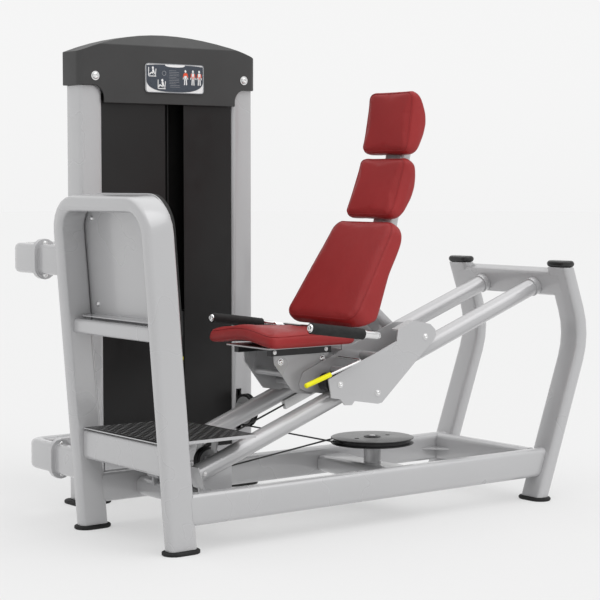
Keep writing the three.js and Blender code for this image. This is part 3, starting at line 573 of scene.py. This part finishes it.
def placard():
    """A white-backed slate panel with a bowed foot, a tab and plain exercise figures; no lettering."""
    low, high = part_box("placard")
    centre = (low + high) / 2
    w, h = high.x - low.x, high.z - low.z
    face = facing(Vector((centre.x, low.y, centre.z)), (0, -1, 0))
    skin("placard", WHITE, edge=0.001)

    slate = bmesh.new()
    half, top, shoulder, foot = w / 2 - 0.0035, h / 2 - 0.0035, -h * 0.10, -h / 2 + 0.003
    bowl = []
    for i in range(25):  # the lower edge sags from the shoulders like a wide bowl
        x = half * math.cos(math.pi * i / 24)
        bowl.append((x, shoulder + (foot - shoulder) * (1 - abs(x / half) ** 3) ** 0.5))
    swings = [math.cos(math.pi * i / 12) for i in range(13)]
    crest = [(-half * swing, top - 0.004 * swing ** 4) for swing in swings]
    plate(slate, crest + bowl, 0.0010, face)
    piece("placard_panel", slate, SLATE, "frame")

    rim = bmesh.new()
    outer, inner = round_rect(w, h, 0.011), round_rect(w - 0.004, h - 0.004, 0.009)
    rings = [[rim.verts.new(face @ Vector((x, y, z))) for x, y in line]
             for line, z in ((outer, 0.0), (outer, 0.0016), (inner, 0.0016), (inner, 0.0))]
    loft(rim, rings)
    piece("placard_rim", rim, PALE, "frame", smooth=50)

    white = bmesh.new()
    tab = [(0.043 * math.cos(math.pi * i / 12), h / 2 - 0.003 - 0.009 * math.sin(math.pi * i / 12) ** 0.6)
           for i in range(13)]
    plate(white, tab[::-1], 0.0015, face)
    marks = bmesh.new()

    def bar(x0, y0, x1, y1, thick, into=white, depth=0.0015):
        along = Vector((x1 - x0, y1 - y0))
        side = Vector((-along.y, along.x)).normalized() * thick / 2
        a, b = Vector((x0, y0)), Vector((x1, y1))
        plate(into, [a + side, a - side, b - side, b + side], depth, face)

    # a seated figure at a press, with bent and with stretched legs
    for cx, cy, knee in ((-w * 0.38, h * 0.22, 0.010), (-w * 0.22, -h * 0.20, 0.017)):
        plate(white, disc_outline(cx, cy + 0.0125, 0.0045, 0.0052), 0.0015, face)
        bar(cx, cy + 0.007, cx + 0.005, cy - 0.010, 0.008)
        bar(cx + 0.005, cy - 0.010, cx + 0.005 - knee, cy - 0.003, 0.005)
        bar(cx + 0.005 - knee, cy - 0.003, cx - 0.015, cy - 0.012, 0.004)
        bar(cx - 0.018, cy - 0.017, cx - 0.018, cy + 0.015, 0.0030)
        bar(cx - 0.018, cy - 0.0165, cx + 0.014, cy - 0.0165, 0.0030)
        bar(cx + 0.010, cy - 0.0165, cx + 0.013, cy + 0.010, 0.0028)
    # a standing figure with the trained muscles marked
    for i, cx in enumerate((w * 0.18, w * 0.31, w * 0.42)):
        cy = h * 0.06
        plate(white, disc_outline(cx, cy + 0.021, 0.0042, 0.0050), 0.0015, face)
        bar(cx, cy + 0.015, cx, cy - 0.006, 0.011)
        for side in (-1, 1):
            bar(cx + side * 0.003, cy - 0.004, cx + side * 0.0045, cy - 0.028, 0.0045)
            bar(cx + side * 0.0065, cy + 0.013, cx + side * 0.0100, cy - 0.008, 0.0030)
            elbow = 0.0088 if i else 0.0095
            bar(cx + side * 0.0065, cy + 0.013, cx + side * elbow, cy - 0.001, 0.0036, marks, 0.0018)
        if i == 0:
            chest = [(cx + px, cy + 0.010 + py) for px, py in round_rect(0.012, 0.011, 0.003, 3)]
            plate(marks, chest, 0.0018, face)
        else:
            bar(cx, cy + 0.004, cx, cy - 0.006, 0.005, marks, 0.0018)
    piece("placard_figures", white, WHITE, "frame")
    piece("placard_marks", marks, SIGNAL, "frame")

    lines = bmesh.new()
    lathe(lines, [(0.0072, 0.0), (0.0072, 0.0014), (0.0086, 0.0014), (0.0086, 0.0)],
          face @ Vector((-w * 0.19, h * 0.17, 0)), (0, -1, 0), 28)
    for row in range(11):  # rule lines where the plate explains its use
        y = h * 0.27 - row * 0.0058
        start = -w * 0.10 + 0.003 * (row > 8)
        bar(start, y, start + w * (0.17 if row % 4 else 0.12), y, 0.0011, lines)
    piece("placard_lines", lines, PALE, "frame")


placard()


# ------------------------------------------------------------------ cables
def cable_pieces():
    """The drive cable, from disc round front pulley to drive bar, and the cable that holds the stack."""
    radius = 0.003
    groove, pull = 0.040, 0.137  # radii at which the cable lies on the front pulley and on the disc
    drive_axis = Vector((math.cos(SLOPE), 0, math.sin(SLOPE)))
    pulley = middle("front_pulley")[0]
    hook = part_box("cable_drive")[1]
    start = pulley + Vector((-drive_axis.z, 0, drive_axis.x)) * groove
    reach = (hook.x - start.x) / drive_axis.x
    end = start + drive_axis * (reach - 0.001)
    disc = middle("cam_disc")[0]
    turn = math.acos(pull / (disc.x - pulley.x))
    on_disc = Vector((disc.x - pull * math.cos(turn), disc.y + pull * math.sin(turn), disc.z))
    wrap = [pulley + Vector((math.cos(t), 0, math.sin(t))) * groove
            for t in (math.radians(270 - 160 * i / 16) for i in range(17))]
    bm = bmesh.new()
    run = [on_disc.lerp(wrap[0], i / 10) for i in range(10)] + wrap
    run += [start.lerp(end, i / 24) for i in range(1, 25)]
    tube(bm, run, radius, 10)
    drive = piece("cable_drive_run", bm, CABLE, None, ["cable_drive"], smooth=60)
    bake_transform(drive)

    stack_low, stack_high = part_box("cable_stack")
    top = Vector(((stack_low.x + stack_high.x) / 2, (stack_low.y + stack_high.y) / 2, stack_high.z))
    foot = Vector((top.x, top.y, stack_low.z))
    bm = bmesh.new()
    tube(bm, [top.lerp(foot, i / 40) for i in range(41)], radius, 10)
    hanging = piece("cable_stack_run", bm, CABLE, None, ["cable_stack"], smooth=60)
    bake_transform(hanging)


cable_pieces()
skin("cable_tower", CABLE, edge=0)


# ------------------------------------------------------------------ hand grips and lever
def handle_bar():
    """The bent tube behind the seat with its two sleeves; stations are where the sleeves and the tube end."""
    front_x, front_z, rear_x, rear_z = 488, 669, 704, 639
    tip_x, bend_x = 492, 790
    tilt = Vector((rear_x - front_x, 0, rear_z - front_z)).normalized()

    def height(x):
        return front_z + (x - front_x) * tilt.z / tilt.x

    corners = [st(tip_x, -15, height(tip_x)), st(bend_x, -19, height(bend_x)),
               st(bend_x, 2 * MID_Y + 19, height(bend_x)), st(tip_x, 2 * MID_Y + 15, height(tip_x))]
    bm = bmesh.new()
    tube(bm, arc_path(corners, [0.045, 0.045], 10), 0.0127, 24)
    piece("handle_bar_tube", bm, CHROME, "carriage", ["handle_bar"], smooth=60)
    rubber, ends = bmesh.new(), bmesh.new()
    for side in (-1, 1):
        y0, y1 = (-15, -18) if side < 0 else (2 * MID_Y + 15, 2 * MID_Y + 18)
        a, b = st(front_x, y0, height(front_x)), st(rear_x, y1, height(rear_x))
        along = (b - a).normalized()
        length = (b - a).length
        profile = [(0.0130, 0.0006), (0.0170, 0.0), (0.0185, 0.0018)]
        steps = 40
        for i in range(1, steps):  # shallow moulded rings near both ends, plain in the middle
            t = i / steps
            ringed = 0.0006 if (t < 0.12 or t > 0.88) and i % 2 else 0.0
            profile.append((0.0183 - ringed, 0.0018 + (length - 0.0036) * t))
        profile += [(0.0185, length - 0.0018), (0.0170, length), (0.0130, length - 0.0006)]
        lathe(rubber, profile, a, along, 32)
        lathe(ends, [(0, 0.0030), (0.0038, 0.0030), (0.0044, 0.0058), (0.0075, 0.0064), (0.0115, 0.0052),
                     (0.0140, 0.0026), (0.0146, -0.0002)], a, -along, 28, hexed=3)
        lathe(ends, [(0.0132, 0.0), (0.0152, 0.0008), (0.0152, 0.0070), (0.0132, 0.0078)], b, along, 28)
    piece("handle_bar_sleeves", rubber, RUBBER, "carriage", smooth=50)
    piece("handle_bar_end_caps", ends, CHROME, "carriage", smooth=50)


handle_bar()


def lever():
    """The release lever under the near side of the seat: a bent rod that slopes down to a ringed grip."""
    drop, level, side = 70 / 237, 547, 36
    pivot, outer = st(745, MID_Y - 92.4, level), st(745, side, level)
    tip = st(508, side, level - 237 * drop)
    bm = bmesh.new()
    tube(bm, arc_path([pivot, outer, tip], [0.016], 8), 0.0046, 16)
    piece("lever_rod", bm, CHROME, "lever_arm", ["lever"], smooth=60)
    a, b = st(612, side, level - 133 * drop), st(506, side, level - 239 * drop)
    length = (b - a).length
    profile = [(0.0048, 0.0), (0.0078, 0.0006), (0.0085, 0.003)]
    for i in range(1, 24):
        profile.append((0.0085 - (0.0005 if i % 2 else 0), 0.003 + (length - 0.010) * i / 24))
    profile += [(0.0085, length - 0.006), (0.0074, length - 0.0022), (0.0045, length - 0.0004), (0, length)]
    bm = bmesh.new()
    lathe(bm, profile, a, b - a, 24)
    piece("lever_grip", bm, YELLOW, "lever_arm", smooth=60)


lever()

# ------------------------------------------------------------------ screws
near, far = Vector((0, -1, 0)), Vector((0, 1, 0))
heads = []
for x, z in ((681, 466), (843, 427), (1056, 606)):
    heads += [(st(x, MID_Y - 192, z), near, 0.0085), (st(x, MID_Y + 192, z), far, 0.0085)]
for x, z in ((512, 544), (688, 545)):
    heads += [(st(x, MID_Y - 86.7, z), near, 0.0088), (st(x, MID_Y + 86.7, z), far, 0.0088)]
for x in (475, 690):
    heads += [(st(x, MID_Y - 104, 578), near, 0.0055), (st(x, MID_Y + 104, 578), far, 0.0055)]
screw_heads("carriage_screws", "carriage", heads)
screw_heads("cover_screws", "frame", [(st(224, 860, 1504), near, 0.0125), (st(859, 860, 1508), near, 0.0125)])
FOOT_LEAN = 0.0811  # of the foot frame from upright
PLATE_FRONT = 50.6  # from the frame's mid-line to the face of the foot plate
screw_tilt = math.atan(FOOT_LEAN)
plate_out = Vector((-math.cos(screw_tilt), 0, -math.sin(screw_tilt)))


def on_foot_plate(y, z):
    """A point on the front of the leaning foot plate."""
    return st(-1 - z * math.tan(FOOT_LEAN) + PLATE_FRONT / math.cos(FOOT_LEAN), y, z)


frame_heads = [(on_foot_plate(y, z), plate_out, 0.0075) for y in (62, 462) for z in (742, 1020)]
frame_heads += [(st(155, MID_Y - 164, 218), near, 0.0055)]
for z in (881, 208):
    x = -1 - z * math.tan(FOOT_LEAN)
    for dz in (-52, 52):
        for y, direction in ((695, near), (715, far)):
            frame_heads.append((st(x, y, z + dz), direction, 0.0070))
screw_heads("frame_screws", "frame", frame_heads)


# ------------------------------------------------------------------ upholstery
SIDE = Vector((0, 1, 0))
FOAM_PRESSURE, FOAM_CAP = 5.0, 0.0040
SKIN_IN = 0.0012  # each blank is smaller than its block by this, which the swelling takes up
SEAM_REACH, SEAM_DEPTH = 0.009, 0.0016  # the dent that the stitching pulls in
SEAM_FACE = -0.03  # nothing further behind the front face than this is dented


def eased(d, r):
    """How far a quarter round of radius r stands back at distance d from where it starts."""
    return r - math.sqrt(max(r * r - (r - min(d, r)) ** 2, 0.0))


def read_off(profile, a):
    """A value from [(station, value)] by straight lines."""
    for (a0, v0), (a1, v1) in zip(profile, profile[1:]):
        if a <= a1:
            return v0 + (v1 - v0) * max(a - a0, 0.0) / (a1 - a0)
    return profile[-1][1]


def even_out(bm, passes):
    for _ in range(passes):
        bmesh.ops.smooth_vert(bm, verts=bm.verts, factor=0.5, use_axis_x=True, use_axis_y=True,
                              use_axis_z=True)


def pad_blank(foot, along, out, half, length, faces, corner, edge, voxel=0.0055):
    """An even skin of small quads over a rounded pad: sections stacked up the front face from foot.
    half is the half width at foot and top, faces the depths (station, front, rear) along it."""
    bm = bmesh.new()
    rings, count = [], 44
    for i in range(count + 1):
        a = length * (1 - math.cos(math.pi * i / count)) / 2
        end = min(a, length - a)
        w = half[0] + (half[1] - half[0]) * a / length - eased(end, corner)
        front = read_off([(s, f) for s, f, _ in faces], a) + eased(end, edge)
        rear = read_off([(s, r) for s, _, r in faces], a) - eased(end, edge)
        depth = max(rear - front, 0.004)
        middle_depth = (front + rear) / 2
        r = min(edge, depth / 2 - 0.001)
        rings.append([bm.verts.new(foot + along * a + SIDE * y - out * (middle_depth + d))
                      for y, d in round_rect(2 * w, depth, r, 5)])
    loft(bm, rings)
    bm.faces.new(rings[0][::-1])
    bm.faces.new(rings[-1])
    bmesh.ops.recalc_face_normals(bm, faces=bm.faces)
    obj = bpy.data.objects.new("blank", bpy.data.meshes.new("blank"))
    bm.to_mesh(obj.data)
    bm.free()
    bpy.context.scene.collection.objects.link(obj)
    mod = obj.modifiers.new("even", "REMESH")
    mod.mode, mod.voxel_size = "VOXEL", voxel
    mesh = bpy.data.meshes.new_from_object(obj.evaluated_get(bpy.context.evaluated_depsgraph_get()))
    bpy.data.objects.remove(obj)
    return mesh


def swell(obj, board, pressure, cap):
    """Foam pressing on the cover: cloth under pressure, held at the board, never further than cap."""
    rest = [v.co.copy() for v in obj.data.vertices]
    held = obj.vertex_groups.new(name="board")
    held.add([v.index for v in obj.data.vertices if board(v.co)], 1.0, "REPLACE")
    mod = obj.modifiers.new("cloth", "CLOTH")
    cloth = mod.settings
    cloth.quality, cloth.mass = 5, 0.4
    cloth.tension_stiffness = cloth.compression_stiffness = 18
    cloth.bending_stiffness = 1.2
    cloth.use_pressure, cloth.uniform_pressure_force = True, pressure
    cloth.effector_weights.gravity = 0
    cloth.vertex_group_mass = "board"
    mod.point_cache.frame_start, mod.point_cache.frame_end = 1, 20
    scene = bpy.context.scene
    for step in range(1, 21):
        scene.frame_set(step)
    shaped = obj.evaluated_get(bpy.context.evaluated_depsgraph_get()).to_mesh()
    moved = [v.co.copy() for v in shaped.vertices]
    obj.modifiers.remove(mod)
    obj.vertex_groups.clear()
    for v, a, b in zip(obj.data.vertices, rest, moved):
        step = b - a
        v.co = a + step * min(1.0, cap / step.length) if step.length > 1e-9 else a
    scene.frame_set(1)
    bm = bmesh.new()
    bm.from_mesh(obj.data)
    even_out(bm, 5)  # the cover is stretched tight, so it shows no creases
    bm.to_mesh(obj.data)
    bm.free()


def cushion(node, foot, along, out, half, length, faces, corner, edge=0.017, inset=0.013, arch=None):
    """A stuffed pad where its CAD block is, swollen where the body rests, with a sewn front panel.
    foot is the middle of the front face's lower edge, along runs up the face, out is its normal."""
    mesh = pad_blank(foot, along, out, half, length, faces, corner, edge)
    bm = bmesh.new()
    bm.from_mesh(mesh)
    even_out(bm, 3)
    bm.normal_update()
    for v in bm.verts:
        v.co -= v.normal * SKIN_IN
    bm.to_mesh(mesh)
    bm.free()
    obj = piece(node + "_cushion", mesh, LEATHER, None, [node], smooth=180)
    board = -0.6 * faces[len(faces) // 2][2]
    swell(obj, lambda p: (p - foot).dot(out) < board, FOAM_PRESSURE, FOAM_CAP)

    # a channel in the back where the post and its blocks lie
    post_skin = welded("back_post")
    post = BVHTree.FromBMesh(post_skin)
    post_skin.free()
    for v in obj.data.vertices:
        depth = -(v.co - foot).dot(out)
        hit, _, _, _ = post.ray_cast(v.co + out * depth, -out, depth + 0.001)
        if hit:
            v.co = hit + out * 0.001

    # the seam follows a rounded outline a little inside the front face
    tree = BVHTree.FromObject(obj, bpy.context.evaluated_depsgraph_get())
    loop = []
    w0, w1 = half
    outline = round_rect(2 * w0 - 2 * inset, length - 2 * inset, max(corner - inset * 0.6, 0.008), 8)
    dense = []
    for p, q in zip(outline, outline[1:] + outline[:1]):
        p, q = Vector(p), Vector(q)
        parts = max(1, int((q - p).length / 0.010))
        dense += [p.lerp(q, i / parts) for i in range(parts)]
    for p in dense:
        climb = p.y + length / 2
        wide = p.x * (1 + (w1 / w0 - 1) * climb / length)
        hit, normal, _, _ = tree.ray_cast(foot + along * climb + SIDE * wide + out * 0.08, -out)
        if hit:
            loop.append((hit, normal))
    for v in obj.data.vertices:
        if (v.co - foot).dot(out) < SEAM_FACE:
            continue
        gap = min((v.co - h).length for h, _ in loop)
        if gap < SEAM_REACH:
            v.co -= out * SEAM_DEPTH * (1 - gap / SEAM_REACH) ** 2
    ring = [h + n * 0.0001 for h, n in loop]
    if arch:
        for v in obj.data.vertices:
            v.co.z += arch(v.co)
        ring = [p + Vector((0, 0, arch(p))) for p in ring]
    sub = obj.modifiers.new("soft", "SUBSURF")
    sub.levels = sub.render_levels = 1
    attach(obj, "carriage")
    bm = bmesh.new()
    rings = tube(bm, ring, 0.0017, 8, caps=False)
    for j in range(8):
        bm.faces.new((rings[-1][j], rings[-1][(j + 1) % 8], rings[0][(j + 1) % 8], rings[0][j]))
    piece(node + "_seam", bm, PIPING, "carriage", smooth=60)


def back_cushion(node, foot, top, half, rear, corner):
    """A back pad between two (x, z) stations, with its depth given along it as (station, depth)."""
    a, b = st(foot[0], MID_Y, foot[1]), st(top[0], MID_Y, top[1])
    along = (b - a).normalized()
    out = Vector((-along.z, 0, along.x))
    faces = [(s * 0.001, 0.0, depth * 0.001) for s, depth in rear]
    cushion(node, a, along, out, tuple(h * 0.001 for h in half), (b - a).length, faces, corner)


back_cushion("pad_head", (1024, 1232), (1062, 1458), (130, 124),
             [(0, 46), (40, 63), (80, 76), (118, 81), (155, 74), (195, 53), (230, 33)], 0.030)
back_cushion("pad_mid", (949, 1014), (1026, 1228), (134, 128),
             [(0, 40), (45, 62), (94, 76), (136, 79), (175, 71), (212, 56), (227, 42)], 0.030)
back_cushion("pad_low", (731, 669), (948, 1011), (202, 168),
             [(0, 46), (14, 59), (60, 94), (100, 90), (160, 80), (225, 70), (300, 70), (340, 68), (405, 49)],
             0.050)

seat_low, seat_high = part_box("seat_pad")
ARCH_RISE, ARCH_START, ARCH_REACH, ARCH_HALF = 0.019, 0.030, 0.170, 0.19


def seat_arch(p):
    """The front edge rises in the middle and the rise fades towards the back."""
    across = min(abs(p.y - SEAT_MID) / ARCH_HALF, 1.0)
    behind = min(max(p.x - seat_low.x - ARCH_START, 0.0) / (ARCH_REACH - ARCH_START), 1.0)
    return ARCH_RISE * math.cos(math.pi / 2 * across) ** 2 * (0.5 + 0.5 * math.cos(math.pi * behind))


seat_length = seat_high.x - seat_low.x
seat_thick = seat_high.z - seat_low.z
seat_faces = [(0.0, 0.002, seat_thick), (0.16, 0.0, seat_thick), (0.30, 0.006, seat_thick),
              (seat_length, 0.008, seat_thick)]
cushion("seat_pad", Vector((seat_low.x, SEAT_MID, seat_high.z)), Vector((1, 0, 0)), Vector((0, 0, 1)),
        (0.192, 0.186), seat_length, seat_faces, corner=0.030, edge=0.021, arch=seat_arch)

# ------------------------------------------------------------------ floor, light and camera
FLOOR_GREY, FLOOR_GLOW = 0.345, 0.45  # the glow keeps the contact shadows as faint as in a light tent
HORIZON, OVERHEAD = 0.905, 1.5  # strength of the surrounding light, level and straight up
CAMERA_PLACE, CAMERA_LENS = (-3.7545, -4.8855, 1.14), 105.3
CAMERA_YAW, CAMERA_PITCH = math.radians(37.64), math.radians(3.8875)
floor_mesh = bmesh.new()
bmesh.ops.create_circle(floor_mesh, cap_ends=True, segments=64, radius=60.0)
floor_look = Look("studio_floor", (FLOOR_GREY,) * 3, 0.95, specular=0.0)
floor_look.set(floor_look.shader, {"Emission Color": (1, 1, 1, 1), "Emission Strength": FLOOR_GLOW})
floor_look.roughness(floor_look.span(floor_look.noise(3, 2), 0.3, 0.7, 0.93, 0.97))
floor = piece("studio_floor", floor_mesh, floor_look.material, None)

world = bpy.data.worlds.new("studio")
bpy.context.scene.world = world
world.use_nodes = True
sky = world.node_tree
height = sky.nodes.new("ShaderNodeSeparateXYZ")
sky.links.new(sky.nodes.new("ShaderNodeTexCoord").outputs["Generated"], height.inputs[0])
ramp = sky.nodes.new("ShaderNodeFloatCurve")  # a dimmer band above the horizon, a broad soft light overhead
sky.links.new(height.outputs["Z"], ramp.inputs["Value"])
curve = ramp.mapping.curves[0]
for x, level in ((0.14, HORIZON), (0.36, 0.72), (0.5, 0.72), (0.75, 1.35)):
    curve.points.new(x, level / OVERHEAD)
curve.points[0].location = (0.0, HORIZON / OVERHEAD)
curve.points[len(curve.points) - 1].location = (1.0, 1.0)
ramp.mapping.update()
scale = sky.nodes.new("ShaderNodeMath")
scale.operation = "MULTIPLY"
scale.inputs[1].default_value = OVERHEAD
sky.links.new(ramp.outputs["Value"], scale.inputs[0])
sky.nodes["Background"].inputs["Color"].default_value = (1, 1, 1, 1)
sky.links.new(scale.outputs[0], sky.nodes["Background"].inputs["Strength"])


def sun(name, source, strength, angle):
    data = bpy.data.lights.new(name, "SUN")
    data.energy, data.angle = strength, math.radians(angle)
    lamp = bpy.data.objects.new(name, data)
    lamp.rotation_euler = Vector(source).to_track_quat("Z", "Y").to_euler()
    bpy.context.scene.collection.objects.link(lamp)


sun("key", (0.35, -1.0, 1.1), 0.60, 50)

camera_data = bpy.data.cameras.new("camera")
camera_data.lens, camera_data.sensor_width = CAMERA_LENS, 36.0
camera = bpy.data.objects.new("camera", camera_data)
camera.location = CAMERA_PLACE
level = math.cos(CAMERA_PITCH)
looking = Vector((math.sin(CAMERA_YAW) * level, math.cos(CAMERA_YAW) * level, -math.sin(CAMERA_PITCH)))
camera.rotation_euler = looking.to_track_quat("-Z", "Y").to_euler()
bpy.context.scene.collection.objects.link(camera)
bpy.context.scene.camera = camera
bpy.context.scene.view_settings.view_transform = "Standard"
